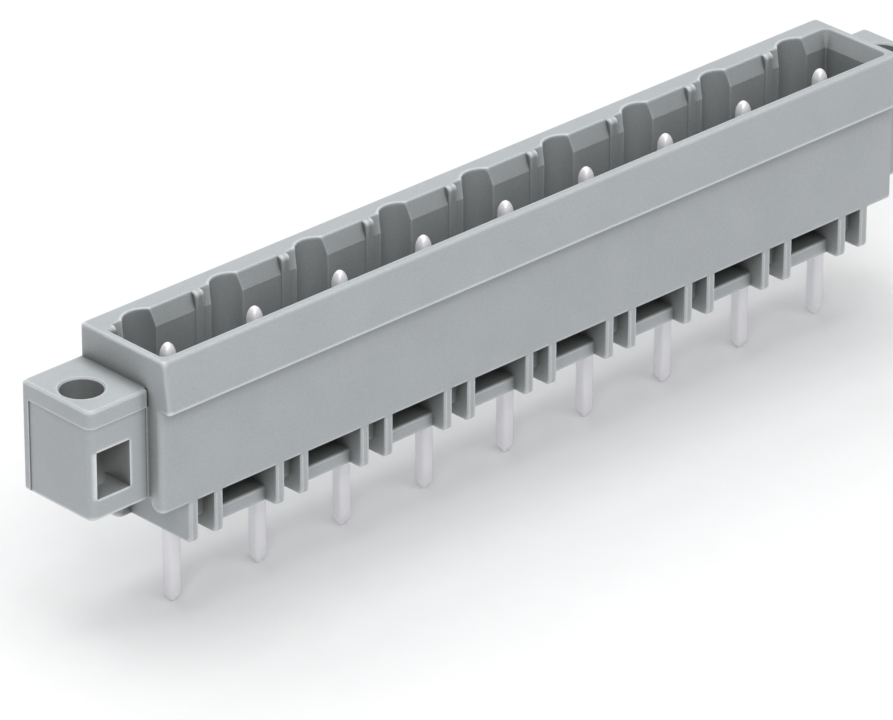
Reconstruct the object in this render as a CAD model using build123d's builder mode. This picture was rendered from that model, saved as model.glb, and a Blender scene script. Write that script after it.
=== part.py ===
"""Through-hole connector: a straight pin header in a shroud, with end flanges.

Units are millimetres. Z = 0 is the face of the board, Z points away from it.
X runs along the row of poles, with X = 0 at the middle of the row.
Y = 0 is the row of pins; the leaning skirt is on the -Y side.
"""

import os
from math import acos, atan2, cos, degrees, sin

from build123d import *

os.makedirs("parts", exist_ok=True)

# Row of poles
pole_count = 9
pitch = 7.5
end_length = 3.8  # from the outer pin to the end face of the shroud

# Heights over the board
underside_height = 3.82  # underside of the floor and of the flanges
floor_thickness = 1.6
skirt_height = 10.4  # lower edge of the skirt
rim_height = 14.05

# Shroud, measured from the row of pins
front_reach = 3.55  # front wall under the skirt
skirt_reach = 4.4  # lower edge of the skirt
rim_reach = 3.92  # the skirt where it meets the rim
back_reach = 4.15
cavity_front = 2.87
cavity_back = 2.15
end_wall = 0.98
cavity_corner = 0.12
lead_in_depth = 1.25
lead_in_width = 0.42

# Scoops in the back wall, one behind each pin
scoop_radius = 1.45
scoop_depth = 0.98
scoop_offset = 0.46  # from the pin towards its coding rib

# Coding ribs on the back wall, one beside each pin
key_offset = 2.82
key_width = 0.72
key_reach = 0.1  # from the wall under the lead-in
key_root = 0.62  # depth sunk in the wall
corner_key_inset = 0.3  # from the end face to the rib that fills the corner

# Underside
lip_thickness = 1.15
lip_drop = 0.82  # from the underside of the floor to the lower edge of the front wall
foot_gap = 1.42  # between the two ribs of a pole
foot_thickness = 0.72
rail_front = 2.35
rail_overhang = 1.0  # past the outermost ribs
tie_height = 1.1
web_height = 1.1

# End flanges
flange_length = 5.0
flange_front = 2.4
flange_height = 11.7
flange_band = 1.27  # height of the raised band under the top
flange_strip = 0.6  # width of the raised strip at the back
relief_depth = 0.1
ridge_width = 0.22  # unrelieved strip beside the shroud
seam_width = 0.15
seam_depth = 0.3
mount_hole_radius = 1.45
mount_hole_out = 2.98  # from the end face to the axis of the hole
mount_hole_back = 0.63  # from the row of pins to the axis of the hole
window_width = 2.8
window_height = 3.35
window_lift = 1.45  # from the underside to the window
window_depth = 5.0

# Edge roundings
skirt_end_round = 0.24
back_corner_round = 0.25
rim_round = 0.2
ledge_round = 0.1
mouth_bevel = 0.06
wall_corner_round = 0.42
lip_inner_round = 0.6
edge_round = 0.15
foot_toe_round = 0.4
foot_edge_bevel = 0.1
rail_end_round = 0.45
flange_corner_round = 0.6
flange_back_round = 0.2
flange_top_bevel = 0.12
flange_foot_bevel = 0.14
hole_bevel = 0.12
key_bevel = 0.08
key_top_round = 0.35

# Pins
pin_size = 1.0
pin_corner = 0.19
solder_length = 6.0
contact_height = 12.8
nose_length = 0.85
nose_stages = 5  # facets along the rounding of the nose
nose_tip_scale = 0.16  # width of the nose's end over the width of the pin
point_length = 0.6
point_scale = 0.5  # width of the blunt point over the width of the pin

# Derived positions
row_half = (pole_count - 1) * pitch / 2
pin_xs = [index * pitch - row_half for index in range(pole_count)]
gap_xs = [index * pitch + pitch / 2 - row_half for index in range(pole_count - 1)]
body_half = row_half + end_length
flange_outer = body_half + flange_length
flange_root = body_half - end_wall / 2
flange_edge = body_half + ridge_width
mount_hole_x = body_half + mount_hole_out
cavity_half = body_half - end_wall
cavity_width = cavity_front + cavity_back
cavity_y = (cavity_back - cavity_front) / 2
floor_height = underside_height + floor_thickness
lead_in_foot = rim_height - lead_in_depth
lead_in_angle = degrees(atan2(lead_in_width, lead_in_depth))
scoop_y = cavity_back + scoop_depth - scoop_radius
key_y = cavity_back + (key_root - key_reach) / 2
key_xs = [pin_x - key_offset for pin_x in pin_xs]
key_xs.append(corner_key_inset + key_width / 2 - body_half)
lip_height = underside_height - lip_drop
lip_back = front_reach - lip_thickness
foot_x = (foot_gap + foot_thickness) / 2
foot_outer = foot_gap / 2 + foot_thickness
rail_half = row_half + foot_outer + rail_overhang
pin_sections = [(-solder_length, point_scale), (point_length - solder_length, 1.0)]
nose_turns = [acos(nose_tip_scale) * stage / nose_stages for stage in range(nose_stages + 1)]
nose_rise = nose_length / sin(nose_turns[-1])
pin_sections += [
    (contact_height - nose_length + nose_rise * sin(turn), cos(turn)) for turn in nose_turns
]

# One foot rib: it stands on the board and runs from the front wall to the rail
with BuildPart() as foot:
    with BuildSketch(Plane.YZ.offset(-foot_thickness / 2)):
        with Locations(((rail_front - front_reach) / 2, underside_height / 2)):
            Rectangle(rail_front + front_reach, underside_height)
    extrude(amount=foot_thickness)
    toe = foot.edges().filter_by(Axis.X).group_by(Axis.Y)[0].sort_by(Axis.Z)[0]
    fillet(toe, foot_toe_round)
    foot_front = foot.faces().filter_by(Plane.XZ).sort_by(Axis.Y)[0]
    chamfer(foot_front.edges().filter_by(Axis.Z), foot_edge_bevel)

# One coding rib: it stands on the floor, its back sunk in the wall, its top level with the rim
with BuildPart() as key:
    with BuildSketch(Plane.YZ.offset(-key_width / 2)) as key_section:
        with Locations((key_y, (floor_height + rim_height) / 2)):
            Rectangle(key_reach + key_root, rim_height - floor_height)
        crown = key_section.vertices().group_by(Axis.X)[0].sort_by(Axis.Y)[-1]
        fillet(crown, key_top_round)
    extrude(amount=key_width)
    key_nose = key.faces().filter_by(Plane.XZ).sort_by(Axis.Y)[0]
    chamfer(key_nose.edges().filter_by(Axis.Z), key_bevel)

# One end flange, at the -X end: a block with a screw hole and a window
with BuildPart() as flange:
    with BuildSketch(Plane.XY.offset(underside_height)) as flange_plan:
        with BuildLine():
            Polyline(
                (-flange_root, -flange_front),
                (-flange_outer, -flange_front),
                (-flange_outer, back_reach),
                (-flange_root, back_reach),
                close=True,
            )
        make_face()
        front_corner = flange_plan.vertices().sort_by_distance((-flange_outer, -flange_front))
        fillet(front_corner[0], flange_corner_round)
        back_corner = flange_plan.vertices().sort_by_distance((-flange_outer, back_reach))
        fillet(back_corner[0], flange_back_round)
    extrude(amount=flange_height - underside_height)
    flange_top = flange.faces().sort_by(Axis.Z)[-1]
    chamfer(flange_top.edges().sort_by(Axis.X)[:-1], flange_top_bevel)
    flange_foot = flange.faces().sort_by(Axis.Z)[0]
    chamfer(flange_foot.edges().sort_by(Axis.X)[:-1], flange_foot_bevel)

    # Shallow relief of the front and of the end, below the raised band
    with BuildSketch(Plane.XY.offset(underside_height)) as relief_plan:
        with BuildLine():
            Polyline(
                (-flange_edge, -flange_front - relief_depth),
                (-flange_edge, relief_depth - flange_front),
                (relief_depth - flange_outer, relief_depth - flange_front),
                (relief_depth - flange_outer, back_reach - flange_strip),
                (-flange_outer - relief_depth, back_reach - flange_strip),
                (-flange_outer - relief_depth, -flange_front - relief_depth),
                close=True,
            )
        make_face()
        relief_corner = relief_plan.vertices().sort_by_distance(
            (relief_depth - flange_outer, relief_depth - flange_front)
        )
        fillet(relief_corner[0], flange_corner_round - relief_depth)
    extrude(amount=flange_height - flange_band - underside_height, mode=Mode.SUBTRACT)

    # Narrow seam between the raised band and the shroud
    with BuildSketch(Plane.XY.offset(flange_height - flange_band)):
        with Locations((-body_half - seam_width / 2, -flange_front)):
            Rectangle(seam_width, 2 * seam_depth)
    extrude(amount=flange_band, mode=Mode.SUBTRACT)

    # Screw hole, straight down through the flange
    with BuildSketch(Plane.XY.offset(underside_height)):
        with Locations((-mount_hole_x, mount_hole_back)):
            Circle(mount_hole_radius)
    extrude(amount=flange_height - underside_height, mode=Mode.SUBTRACT)
    hole_mouth = flange.edges().filter_by(GeomType.CIRCLE).group_by(Axis.Z)[-1]
    chamfer(hole_mouth.sort_by(SortBy.RADIUS)[-1], hole_bevel)

    # Window for the nut, let in from the front
    with BuildSketch(Plane.XZ.offset(flange_front)):
        with Locations(
            (-mount_hole_x, underside_height + window_lift + window_height / 2)
        ):
            Rectangle(window_width, window_height)
    extrude(amount=-window_depth, mode=Mode.SUBTRACT)

# One tie: the slab that joins the feet of two neighbouring poles
with BuildPart() as tie:
    with BuildSketch(Plane.YZ.offset(foot_outer - pitch / 2)) as tie_section:
        with Locations(((rail_front - lip_back) / 2, tie_height / 2)):
            Rectangle(rail_front + lip_back, tie_height)
        fillet(tie_section.vertices().group_by(Axis.X)[0], edge_round)
    extrude(amount=pitch - 2 * foot_outer)

# The lip: the lower end of the front wall, with a rounded inner edge
with BuildPart() as lip:
    with BuildSketch(Plane.XY.offset(lip_height)) as lip_plan:
        with Locations((0, -(front_reach + lip_back) / 2)):
            Rectangle(2 * body_half, lip_thickness)
        fillet(lip_plan.vertices().group_by(Axis.Y)[0], wall_corner_round)
    extrude(amount=underside_height - lip_height)
    lip_foot = lip.faces().sort_by(Axis.Z)[0]
    fillet(lip_foot.edges().sort_by(Axis.Y)[-1], lip_inner_round)
    lip_foot = lip.faces().sort_by(Axis.Z)[0]
    fillet(lip_foot.edges().sort_by(Axis.Y)[0], edge_round)

# The housing: one moulding
with BuildPart() as housing:
    # Skirt, leaning back towards the rim
    with BuildSketch(Plane.YZ.offset(-body_half)):
        with BuildLine():
            Polyline(
                (wall_corner_round - front_reach, skirt_height),
                (-skirt_reach, skirt_height),
                (-rim_reach, rim_height),
                (wall_corner_round - front_reach, rim_height),
                close=True,
            )
        make_face()
    extrude(amount=2 * body_half)
    skirt_ends = housing.edges().filter_by(Axis.X, reverse=True).group_by(Axis.Y)[0]
    fillet(skirt_ends, skirt_end_round)
    skirt_foot = housing.faces().sort_by(Axis.Z)[0]
    fillet(skirt_foot.edges().sort_by(Axis.Y)[0], ledge_round)

    # Walls and floor as one block, with the rounded rim
    with BuildSketch(Plane.XY.offset(underside_height)) as wall_plan:
        with Locations((0, (back_reach - front_reach) / 2)):
            Rectangle(2 * body_half, front_reach + back_reach)
        fillet(wall_plan.vertices().group_by(Axis.Y)[0], wall_corner_round)
        fillet(wall_plan.vertices().group_by(Axis.Y)[-1], back_corner_round)
    extrude(amount=rim_height - underside_height)
    rim_face = housing.faces().sort_by(Axis.Z)[-1]
    fillet(rim_face.edges(), rim_round)

    # Flanges at both ends
    add(flange.part)
    mirror(flange.part, about=Plane.YZ)

    # Cavity, with a sloped lead-in all round
    with BuildSketch(Plane.XY.offset(floor_height)) as cavity_plan:
        with Locations((0, cavity_y)):
            Rectangle(2 * cavity_half, cavity_width)
        fillet(cavity_plan.vertices(), cavity_corner)
    extrude(amount=rim_height - floor_height, mode=Mode.SUBTRACT)
    with BuildSketch(Plane.XY.offset(lead_in_foot)) as mouth_plan:
        with Locations((0, cavity_y)):
            Rectangle(2 * cavity_half, cavity_width)
        fillet(mouth_plan.vertices(), cavity_corner)
    extrude(amount=lead_in_depth, taper=-lead_in_angle, mode=Mode.SUBTRACT)

    # Scoops behind the pins
    with BuildSketch(Plane.XY.offset(floor_height)):
        with Locations(*[(pin_x - scoop_offset, scoop_y) for pin_x in pin_xs]):
            Circle(scoop_radius)
    extrude(amount=rim_height - floor_height, mode=Mode.SUBTRACT)
    rim_face = housing.faces().sort_by(Axis.Z)[-1]
    chamfer(rim_face.inner_wires()[0].edges(), mouth_bevel)

    # Coding ribs, lip, feet, webs, ties and the rail along the back
    with Locations(*[(key_x, 0) for key_x in key_xs]):
        add(key.part)
    add(lip.part)
    with Locations(*[(pin_x + side * foot_x, 0) for pin_x in pin_xs for side in (-1, 1)]):
        add(foot.part)
    with Locations(*[(gap_x, 0) for gap_x in gap_xs]):
        add(tie.part)
    with BuildSketch(Plane.XY.offset(web_height)):
        with Locations(*[(pin_x, (rail_front - lip_back) / 2) for pin_x in pin_xs]):
            Rectangle(foot_gap, rail_front + lip_back)
    extrude(amount=underside_height - web_height)
    with BuildSketch(Plane.XY) as rail_plan:
        with Locations((0, (rail_front + back_reach) / 2)):
            Rectangle(2 * rail_half, back_reach - rail_front)
        fillet(rail_plan.vertices().group_by(Axis.Y)[0], rail_end_round)
    extrude(amount=underside_height)

    # Square holes that hold the pins
    with BuildSketch(Plane.XY.offset(web_height)) as pin_seats:
        with Locations(*[(pin_x, 0) for pin_x in pin_xs]):
            Rectangle(pin_size, pin_size)
        chamfer(pin_seats.vertices(), pin_corner)
    extrude(amount=floor_height - web_height, mode=Mode.SUBTRACT)

housing.part.label = "housing"
export_step(housing.part, "parts/housing.step")

# The pins: square wire with a rounded contact nose and a blunt solder point
for number, pin_x in enumerate(pin_xs, start=1):
    with BuildPart() as pin:
        for height, scale in pin_sections:
            with BuildSketch(Plane((pin_x, 0, height))) as pin_section:
                Rectangle(pin_size * scale, pin_size * scale)
                chamfer(pin_section.vertices(), pin_corner * scale)
        loft(ruled=True)
    pin.part.label = f"pin_{number}"
    export_step(pin.part, f"parts/pin_{number}.step")
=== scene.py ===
"""A grey through-hole connector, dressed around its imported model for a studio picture.

The moulded housing keeps its shape from the model and gets a satin plastic. The
nine contact pins are drawn again with smooth noses and get bright tin.
"""

from __future__ import annotations

import logging
import math
from dataclasses import dataclass, field
from enum import Enum
from typing import NamedTuple

import bmesh
import bpy
from mathutils import Euler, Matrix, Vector


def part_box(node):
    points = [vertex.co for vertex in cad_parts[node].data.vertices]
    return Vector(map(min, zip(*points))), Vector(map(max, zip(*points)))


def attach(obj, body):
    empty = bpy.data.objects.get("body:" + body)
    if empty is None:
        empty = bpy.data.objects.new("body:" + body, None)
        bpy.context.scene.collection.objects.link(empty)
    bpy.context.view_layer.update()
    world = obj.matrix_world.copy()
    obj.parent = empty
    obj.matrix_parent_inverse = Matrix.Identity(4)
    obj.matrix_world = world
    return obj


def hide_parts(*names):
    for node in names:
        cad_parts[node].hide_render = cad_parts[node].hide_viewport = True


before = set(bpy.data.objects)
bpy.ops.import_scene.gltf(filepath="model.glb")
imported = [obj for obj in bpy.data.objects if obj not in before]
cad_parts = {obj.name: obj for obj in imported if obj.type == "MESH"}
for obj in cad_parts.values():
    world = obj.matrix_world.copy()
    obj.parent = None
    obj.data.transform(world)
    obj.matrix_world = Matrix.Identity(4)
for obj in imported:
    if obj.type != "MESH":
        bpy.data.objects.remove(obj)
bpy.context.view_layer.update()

LOG = logging.getLogger("connector")
MM = 0.001
RIGHT_ANGLE = math.pi / 2
IMAGE_WIDTH = 893

Colour = tuple[float, float, float]
Point = tuple[float, float, float]
Span = tuple[float, float]
Stop = tuple[float, Colour]
Socket = bpy.types.NodeSocket
Input = Socket | float | tuple[float, ...]


class Blend(Enum):
    """How two colours are put together."""

    MIX = "MIX"
    MULTIPLY = "MULTIPLY"


class NodeSketch:
    """A short way to lay out the nodes of one material."""

    # Rays that each ambient occlusion node sends out
    OCCLUSION_RAYS = 8
    # Places of the colour sockets on a Mix node
    MIX_FIRST = 6
    MIX_SECOND = 7
    MIX_RESULT = 2

    def __init__(self, name: str) -> None:
        """Start an empty material.

        Args:
            name: The name of the material.
        """
        self.material = bpy.data.materials.new(name)
        self.material.use_nodes = True
        self.tree = self.material.node_tree
        self.tree.nodes.clear()

    def add(
        self, kind: str, settings: dict[str, object] | None = None, **values: Input
    ) -> bpy.types.Node:
        """Add a node and fill its inputs.

        Args:
            kind: The node's type, without its common prefix.
            settings: Attributes of the node itself, such as its operation.
            values: Inputs by name, with underscores for spaces.

        Returns:
            The new node.
        """
        node = self.tree.nodes.new("ShaderNode" + kind)
        for name, value in (settings or {}).items():
            setattr(node, name, value)
        for name, value in values.items():
            self.feed(node.inputs[name.replace("_", " ")], value)
        return node

    def feed(self, socket: Socket, value: Input) -> None:
        """Link an input to a socket, or give it a plain value.

        Args:
            socket: The input to fill.
            value: An output socket, or a number or colour.
        """
        if isinstance(value, Socket):
            self.tree.links.new(value, socket)
        else:
            socket.default_value = value

    def calculate(self, operation: str, *terms: Input, clamp: bool = False) -> Socket:
        """Add a Math node.

        Args:
            operation: The operation's name.
            terms: Its inputs in order.
            clamp: Whether the result is kept between 0 and 1.

        Returns:
            The node's value.
        """
        node = self.add("Math", {"operation": operation, "use_clamp": clamp})
        for socket, term in zip(node.inputs, terms):
            self.feed(socket, term)
        return node.outputs["Value"]

    def ramp(self, factor: Input, *stops: Stop) -> Socket:
        """Add a colour ramp.

        Args:
            factor: The socket that drives the ramp.
            stops: Pairs of a position and a colour, in rising order.

        Returns:
            The ramp's colour.
        """
        node = self.add("ValToRGB", Fac=factor)
        elements = node.color_ramp.elements
        for position, _ in stops[1:-1]:
            elements.new(position)
        for element, (position, colour) in zip(elements, stops):
            element.position = position
            element.color = (*colour, 1.0)
        return node.outputs["Color"]

    def mix(
        self, factor: Input, first: Input, second: Input, blend: Blend = Blend.MIX
    ) -> Socket:
        """Put two colours together.

        Args:
            factor: How much of the second colour shows.
            first: The first colour.
            second: The second colour.
            blend: How they are put together.

        Returns:
            The resulting colour.
        """
        node = self.add("Mix", {"data_type": "RGBA", "blend_type": blend.value})
        self.feed(node.inputs["Factor"], factor)
        self.feed(node.inputs[self.MIX_FIRST], first)
        self.feed(node.inputs[self.MIX_SECOND], second)
        return node.outputs[self.MIX_RESULT]

    def tint(self, colour: Socket, filtering: Socket) -> Socket:
        """Multiply one colour by another."""
        return self.mix(1.0, colour, filtering, Blend.MULTIPLY)

    def place(self) -> Socket:
        """Return the coordinates of the object itself."""
        return self.add("TexCoord").outputs["Object"]

    def noise(self, place: Socket, size: float, detail: float = 2.0) -> Socket:
        """Add a cloudy pattern with lumps of about the given size."""
        node = self.add("TexNoise", Vector=place, Scale=1.0 / size, Detail=detail)
        return node.outputs["Fac"]

    def occlusion(self, distance: float, inside: bool = False) -> Socket:
        """Measure how open each point is, outside or inside, within a distance."""
        settings = {"samples": self.OCCLUSION_RAYS, "inside": inside}
        return self.add("AmbientOcclusion", settings, Distance=distance).outputs["AO"]

    def vary(self, pattern: Socket, middle: float, spread: float) -> Socket:
        """Let a value swing about its middle with a pattern."""
        return self.calculate("MULTIPLY_ADD", pattern, spread, middle - spread / 2)

    def relief(self, height: Socket, strength: float, depth: float) -> Socket:
        """Turn a pattern into a bumped normal."""
        node = self.add("Bump", Strength=strength, Distance=depth, Height=height)
        return node.outputs["Normal"]

    def finish(self, shader: bpy.types.Node) -> bpy.types.Material:
        """Link the shader to the material's output and return the material."""
        self.add("OutputMaterial", Surface=shader.outputs["BSDF"])
        return self.material


@dataclass(frozen=True)
class SatinPlastic:
    """Light grey moulded plastic with a fine spark-eroded grain, soft edges with painted
    highlights, and painted shade in its creases and recesses.
    """

    # Cloudy body colour
    base: Colour = (0.453, 0.481, 0.495)
    shade: Colour = (0.433, 0.461, 0.475)
    cloud_span: Span = (0.35, 0.65)
    flow: float = 4.0 * MM
    flow_detail: float = 3.0

    # Fine grain, in colour, gloss and height
    grain: float = 0.11 * MM
    speckle: tuple[Stop, ...] = (
        (0.3, (0.93, 0.93, 0.93)),
        (0.7, (1.05, 1.05, 1.05)),
    )
    grain_strength: float = 0.16
    grain_depth: float = 0.02 * MM
    roughness: float = 0.5
    roughness_spread: float = 0.12
    refraction: float = 1.5

    # Painted highlights along the outer edges, kept out of the deep recesses
    edge_highlight: Colour = (0.80, 0.825, 0.835)
    edge_width: float = 0.38 * MM
    edge_gain: float = -3.2
    edge_offset: float = 2.75
    reach_gain: float = 2.2
    reach_offset: float = -0.7

    # Painted shade in the creases and recesses
    crease: float = 1.3 * MM
    crease_shade_tones: tuple[Stop, ...] = (
        (0.3, (0.55, 0.55, 0.54)),
        (0.88, (1.0, 1.0, 1.0)),
    )
    recess: float = 7.0 * MM
    recess_shade_tones: tuple[Stop, ...] = (
        (0.0, (0.52, 0.515, 0.495)),
        (0.48, (0.57, 0.565, 0.545)),
        (0.72, (0.97, 0.97, 0.965)),
        (1.0, (1.0, 1.0, 1.0)),
    )

    def body(self, sketch: NodeSketch, place: Socket, speck: Socket) -> Socket:
        """Make the cloudy, speckled body colour.

        Args:
            sketch: The material in the making.
            place: The coordinates that the clouds follow.
            speck: The fine grain.

        Returns:
            The body colour.
        """
        cloud = sketch.noise(place, self.flow, self.flow_detail)
        start, end = self.cloud_span
        clouded = sketch.ramp(cloud, (start, self.shade), (end, self.base))
        return sketch.tint(clouded, sketch.ramp(speck, *self.speckle))

    def paint_edge_highlights(self, sketch: NodeSketch, colour: Socket, deep: Socket) -> Socket:
        """Paint highlights on the outer edges.

        Args:
            sketch: The material in the making.
            colour: The colour so far.
            deep: How open each point is within the depth of a recess.

        Returns:
            The colour with its lighter edges.
        """
        # Painted highlight: a lighter colour on the outer edges, kept out of the deep
        # recesses
        rim = sketch.occlusion(self.edge_width, inside=True)
        in_reach = sketch.calculate(
            "MULTIPLY_ADD", deep, self.reach_gain, self.reach_offset, clamp=True
        )
        edge_highlight_mask = sketch.calculate(
            "MULTIPLY_ADD", rim, self.edge_gain, self.edge_offset, clamp=True
        )
        shown = sketch.calculate("MULTIPLY", edge_highlight_mask, in_reach)
        return sketch.mix(shown, colour, (*self.edge_highlight, 1.0))

    def paint_crease_shade(self, sketch: NodeSketch, colour: Socket, deep: Socket) -> Socket:
        """Paint shade into the recesses and along the lines of the creases.

        Args:
            sketch: The material in the making.
            colour: The colour so far.
            deep: How open each point is within the depth of a recess.

        Returns:
            The colour with painted shade in its creases and recesses.
        """
        # Painted shade: the colour is darkened where a point is closed in, in recesses
        # and along creases
        near = sketch.occlusion(self.crease)
        recess_shaded = sketch.tint(colour, sketch.ramp(deep, *self.recess_shade_tones))
        return sketch.tint(recess_shaded, sketch.ramp(near, *self.crease_shade_tones))

    def build(self) -> bpy.types.Material:
        """Lay out the plastic's nodes.

        Returns:
            The plastic's material.
        """
        sketch = NodeSketch("housing_plastic")
        place = sketch.place()
        speck = sketch.noise(place, self.grain)
        deep = sketch.occlusion(self.recess)
        colour = self.body(sketch, place, speck)
        # Painted highlights on the edges, then painted shade in the creases and recesses
        colour = self.paint_edge_highlights(sketch, colour, deep)
        colour = self.paint_crease_shade(sketch, colour, deep)
        shader = sketch.add(
            "BsdfPrincipled",
            Base_Color=colour,
            Roughness=sketch.vary(speck, self.roughness, self.roughness_spread),
            Normal=sketch.relief(speck, self.grain_strength, self.grain_depth),
            IOR=self.refraction,
        )
        return sketch.finish(shader)


@dataclass(frozen=True)
class BrightTin:
    """Bright tin on drawn wire, with fine marks along the pin."""

    light: Colour = (0.97, 0.965, 0.995)
    dull: Colour = (0.94, 0.935, 0.965)
    patch: float = 1.3 * MM
    patch_span: Span = (0.3, 0.6)
    streak: float = 0.06 * MM
    streak_detail: float = 3.0
    streak_stretch: Point = (1.0, 1.0, 0.04)
    streak_strength: float = 0.1
    streak_depth: float = 0.01 * MM
    roughness: float = 0.36
    roughness_spread: float = 0.16
    metallic: float = 0.2

    def build(self) -> bpy.types.Material:
        """Lay out the tin's nodes.

        Returns:
            The tin's material.
        """
        sketch = NodeSketch("pin_metal")
        place = sketch.place()
        drawn = sketch.add("Mapping", Vector=place, Scale=self.streak_stretch)
        lines = sketch.noise(drawn.outputs["Vector"], self.streak, self.streak_detail)
        patches = sketch.noise(place, self.patch)
        start, end = self.patch_span
        shader = sketch.add(
            "BsdfPrincipled",
            Base_Color=sketch.ramp(patches, (start, self.dull), (end, self.light)),
            Roughness=sketch.vary(patches, self.roughness, self.roughness_spread),
            Normal=sketch.relief(lines, self.streak_strength, self.streak_depth),
            Metallic=self.metallic,
        )
        return sketch.finish(shader)


@dataclass(frozen=True)
class PaperWhite:
    """The matt white sweep that the connector stands on."""

    base: Colour = (0.90, 0.90, 0.906)
    dimming: float = 0.985
    fibre: float = 3.0 * MM
    fibre_span: Span = (0.3, 0.7)
    roughness: float = 0.9

    def build(self) -> bpy.types.Material:
        """Lay out the paper's nodes.

        Returns:
            The paper's material.
        """
        sketch = NodeSketch("paper_white")
        fibres = sketch.noise(sketch.place(), self.fibre)
        dimmer = tuple(self.dimming * channel for channel in self.base)
        start, end = self.fibre_span
        shader = sketch.add(
            "BsdfPrincipled",
            Base_Color=sketch.ramp(fibres, (start, dimmer), (end, self.base)),
            Roughness=self.roughness,
        )
        return sketch.finish(shader)


def put(name: str, data: bpy.types.ID) -> bpy.types.Object:
    """Make an object of some data and link it to the scene.

    Args:
        name: The object's name.
        data: Its mesh, camera or light.

    Returns:
        The new object.
    """
    item = bpy.data.objects.new(name, data)
    bpy.context.scene.collection.objects.link(item)
    return item


def facing(look: Vector) -> Euler:
    """Return the turn that points a camera or light along a direction."""
    return look.to_track_quat("-Z", "Y").to_euler()


@dataclass
class Housing:
    """The moulded housing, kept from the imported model."""

    node: str = "housing"
    finish: SatinPlastic = field(default_factory=SatinPlastic)

    def dress(self) -> None:
        """Give the housing its plastic."""
        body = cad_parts[self.node]
        material = self.finish.build()
        body.data.materials.clear()
        body.data.materials.append(material)
        LOG.info("%s dressed in %s", self.node, material.name)


class Ring(NamedTuple):
    """One ring of a pin's skin.

    The scale is its width over the full width of the pin. The roundness is 0 for
    the square section and 1 for a circle.
    """

    height: float
    scale: float
    roundness: float


@dataclass
class ContactPins:
    """The row of square pins, drawn with coined corners and smooth ends."""

    count: int = 9
    side: float = 1.0 * MM
    corner: float = 0.3 * MM
    corner_steps: int = 5

    # Contact nose, and the neck that leads to it
    nose_length: float = 0.85 * MM
    nose_rings: int = 14
    neck_length: float = 1.6 * MM
    neck_roundness: float = 0.45

    # Solder point, and the shoulder between it and the full width
    point_length: float = 0.6 * MM
    point_scale: float = 0.5
    point_round: float = 0.12 * MM
    point_rings: int = 6
    point_roundness: float = 0.6
    shoulder_rise: float = 0.8
    shoulder_scale: float = 0.93
    shoulder_roundness: float = 0.25

    finish: BrightTin = field(default_factory=BrightTin)

    def outline(self, ring: Ring) -> list[Vector]:
        """Return the points of one ring, around the pin's own axis.

        Args:
            ring: The ring to draw.

        Returns:
            The ring's points in order.
        """
        half = self.side / 2
        inner = half - self.corner
        middle = Vector((inner, inner, 0.0))
        points = []
        for quarter in range(4):
            turn = quarter * RIGHT_ANGLE
            for step in range(self.corner_steps + 1):
                angle = step / self.corner_steps * RIGHT_ANGLE
                arc = Vector((math.cos(angle), math.sin(angle), 0.0)) * self.corner
                point = middle + arc
                turned = Vector(
                    (
                        point.x * math.cos(turn) - point.y * math.sin(turn),
                        point.x * math.sin(turn) + point.y * math.cos(turn),
                        0.0,
                    )
                )
                circle = turned.normalized() * half
                points.append(turned.lerp(circle, ring.roundness) * ring.scale)
        return points

    def point_end(self, low: float) -> list[Ring]:
        """List the rings of the solder point.

        Args:
            low: The height of its end.

        Returns:
            Its rings, from the end up to the full width of the pin.
        """
        found = []
        for step in range(self.point_rings):
            turn = step / self.point_rings * RIGHT_ANGLE
            rise = self.point_round * (1 - math.cos(turn))
            loss = (1 - math.sin(turn)) * self.point_round / self.side * 2
            width = self.point_scale - loss
            found.append(Ring(low + rise, width, self.point_roundness))
        shoulder = low + self.point_length * self.shoulder_rise
        found.append(Ring(shoulder, self.shoulder_scale, self.shoulder_roundness))
        found.append(Ring(low + self.point_length, 1.0, 0.0))
        return found

    def nose_end(self, high: float) -> list[Ring]:
        """List the rings of the neck and the contact nose.

        Args:
            high: The height of the nose's end.

        Returns:
            Their rings, from the foot of the neck to just under the nose's end.
        """
        found = [Ring(high - self.nose_length - self.neck_length, 1.0, 0.0)]
        for step in range(self.nose_rings):
            turn = step / self.nose_rings * RIGHT_ANGLE
            height = high - self.nose_length * (1 - math.sin(turn))
            roundness = self.neck_roundness + (1 - self.neck_roundness) * math.sin(turn)
            found.append(Ring(height, math.cos(turn), roundness))
        return found

    def build_one(self, node: str) -> bpy.types.Object:
        """Draw one pin in the place of its node.

        Args:
            node: The node that the pin stands for.

        Returns:
            The pin's object.
        """
        low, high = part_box(node)
        centre = ((low[0] + high[0]) / 2, (low[1] + high[1]) / 2)
        mesh = bmesh.new()
        rows = [
            [
                mesh.verts.new((centre[0] + p.x, centre[1] + p.y, ring.height))
                for p in self.outline(ring)
            ]
            for ring in self.point_end(low[2]) + self.nose_end(high[2])
        ]
        for lower, upper in zip(rows, rows[1:]):
            for index in range(len(lower)):
                after = (index + 1) % len(lower)
                mesh.faces.new((lower[index], lower[after], upper[after], upper[index]))
        mesh.faces.new(list(reversed(rows[0])))
        top = mesh.verts.new((centre[0], centre[1], high[2]))
        last = rows[-1]
        for index in range(len(last)):
            mesh.faces.new((last[index], last[(index + 1) % len(last)], top))
        data = bpy.data.meshes.new("contact_" + node)
        mesh.to_mesh(data)
        mesh.free()
        for polygon in data.polygons:
            polygon.use_smooth = True
        return put("contact_" + node, data)

    def build(self) -> None:
        """Draw, dress and attach every pin."""
        material = self.finish.build()
        for number in range(1, self.count + 1):
            node = f"pin_{number}"
            piece = self.build_one(node)
            piece.data.materials.append(material)
            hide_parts(node)
            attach(piece, "root")
            LOG.info("%s stands for %s", piece.name, node)


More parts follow.
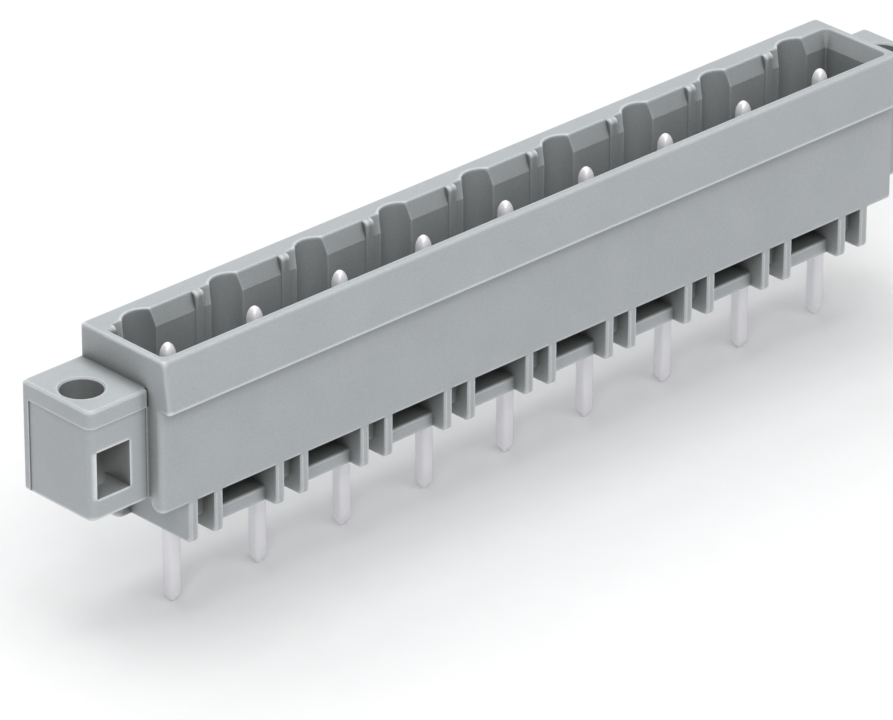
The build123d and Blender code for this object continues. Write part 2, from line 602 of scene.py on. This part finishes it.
@dataclass(frozen=True)
class Softbox:
    """One rectangular studio light: its place and size in metres, its power in watts."""

    name: str
    place: Point
    size: Span
    power: float

    def hang(self, target: Vector) -> None:
        """Hang the softbox and aim it.

        Args:
            target: The point that it is aimed at.
        """
        data = bpy.data.lights.new(self.name, "AREA")
        data.shape = "RECTANGLE"
        data.size, data.size_y = self.size
        data.energy = self.power
        light = put(self.name, data)
        light.location = self.place
        light.rotation_euler = facing(target - Vector(self.place))
        LOG.info("softbox %s hung", self.name)


@dataclass
class Studio:
    """Floor, light and camera."""

    floor_height: float = -6.0 * MM
    floor_half: float = 4.0

    # Camera, in degrees and metres, as fitted to the photograph
    azimuth: float = 43.49
    elevation: float = 27.26
    distance: float = 507.0 * MM
    focal_pixels: float = 7618.0
    sensor: float = 36.0
    clip: Span = (0.01, 50.0)
    target: Point = (-5.41 * MM, 0.0, 2.81 * MM)

    # Light
    room_colour: Colour = (0.985, 0.992, 1.0)
    room_strength: float = 0.04
    softboxes: tuple[Softbox, ...] = (
        Softbox("canopy", (0.0, 0.0, 0.9), (1.8, 1.8), 6.0),
        Softbox("overhead", (0.0, 0.0, 0.88), (0.6, 0.6), 3.1),
        Softbox("behind", (0.0, 0.6, 0.7), (1.0, 0.6), 2.5),
        Softbox("corner", (-0.6, -0.5, 0.58), (0.35, 0.35), 1.9),
        Softbox("front", (0.0, -0.62, 0.72), (1.0, 0.6), 2.4),
    )

    def floor(self) -> None:
        """Lay the white sweep under the pins."""
        half = self.floor_half
        corners = [
            (-half, -half, self.floor_height),
            (half, -half, self.floor_height),
            (half, half, self.floor_height),
            (-half, half, self.floor_height),
        ]
        mesh = bpy.data.meshes.new("sweep")
        mesh.from_pydata(corners, [], [(0, 1, 2, 3)])
        mesh.materials.append(PaperWhite().build())
        sweep = put("sweep", mesh)
        LOG.info("floor laid at %.1f mm", self.floor_height / MM)

    def view_direction(self) -> Vector:
        """Return the direction in which the camera looks.

        Returns:
            A vector of length 1.
        """
        turn = math.radians(self.azimuth)
        tilt = math.radians(self.elevation)
        return Vector(
            (
                math.cos(tilt) * math.sin(turn),
                math.cos(tilt) * math.cos(turn),
                -math.sin(tilt),
            )
        )

    def camera(self) -> None:
        """Set the camera where the photograph was taken from."""
        data = bpy.data.cameras.new("camera")
        data.sensor_width = self.sensor
        data.lens = self.focal_pixels / IMAGE_WIDTH * self.sensor
        data.clip_start, data.clip_end = self.clip
        camera = put("camera", data)
        look = self.view_direction()
        camera.location = Vector(self.target) - look * self.distance
        camera.rotation_euler = facing(look)
        bpy.context.scene.camera = camera
        LOG.info("camera set %.0f mm away", self.distance / MM)

    def light(self) -> None:
        """Light the set with a pale room and soft boxes."""
        world = bpy.data.worlds.new("room")
        world.use_nodes = True
        background = world.node_tree.nodes["Background"]
        background.inputs["Color"].default_value = (*self.room_colour, 1.0)
        background.inputs["Strength"].default_value = self.room_strength
        bpy.context.scene.world = world
        for softbox in self.softboxes:
            softbox.hang(Vector(self.target))

    def build(self) -> None:
        """Set up floor, camera and light."""
        self.floor()
        self.camera()
        self.light()
        bpy.context.scene.view_settings.view_transform = "Standard"


def main() -> None:
    """Dress the connector and set up its studio, piece by piece."""
    logging.basicConfig(level=logging.INFO, format="%(name)s: %(message)s")
    Studio().build()
    Housing().dress()
    ContactPins().build()


if __name__ == "__main__":
    main()
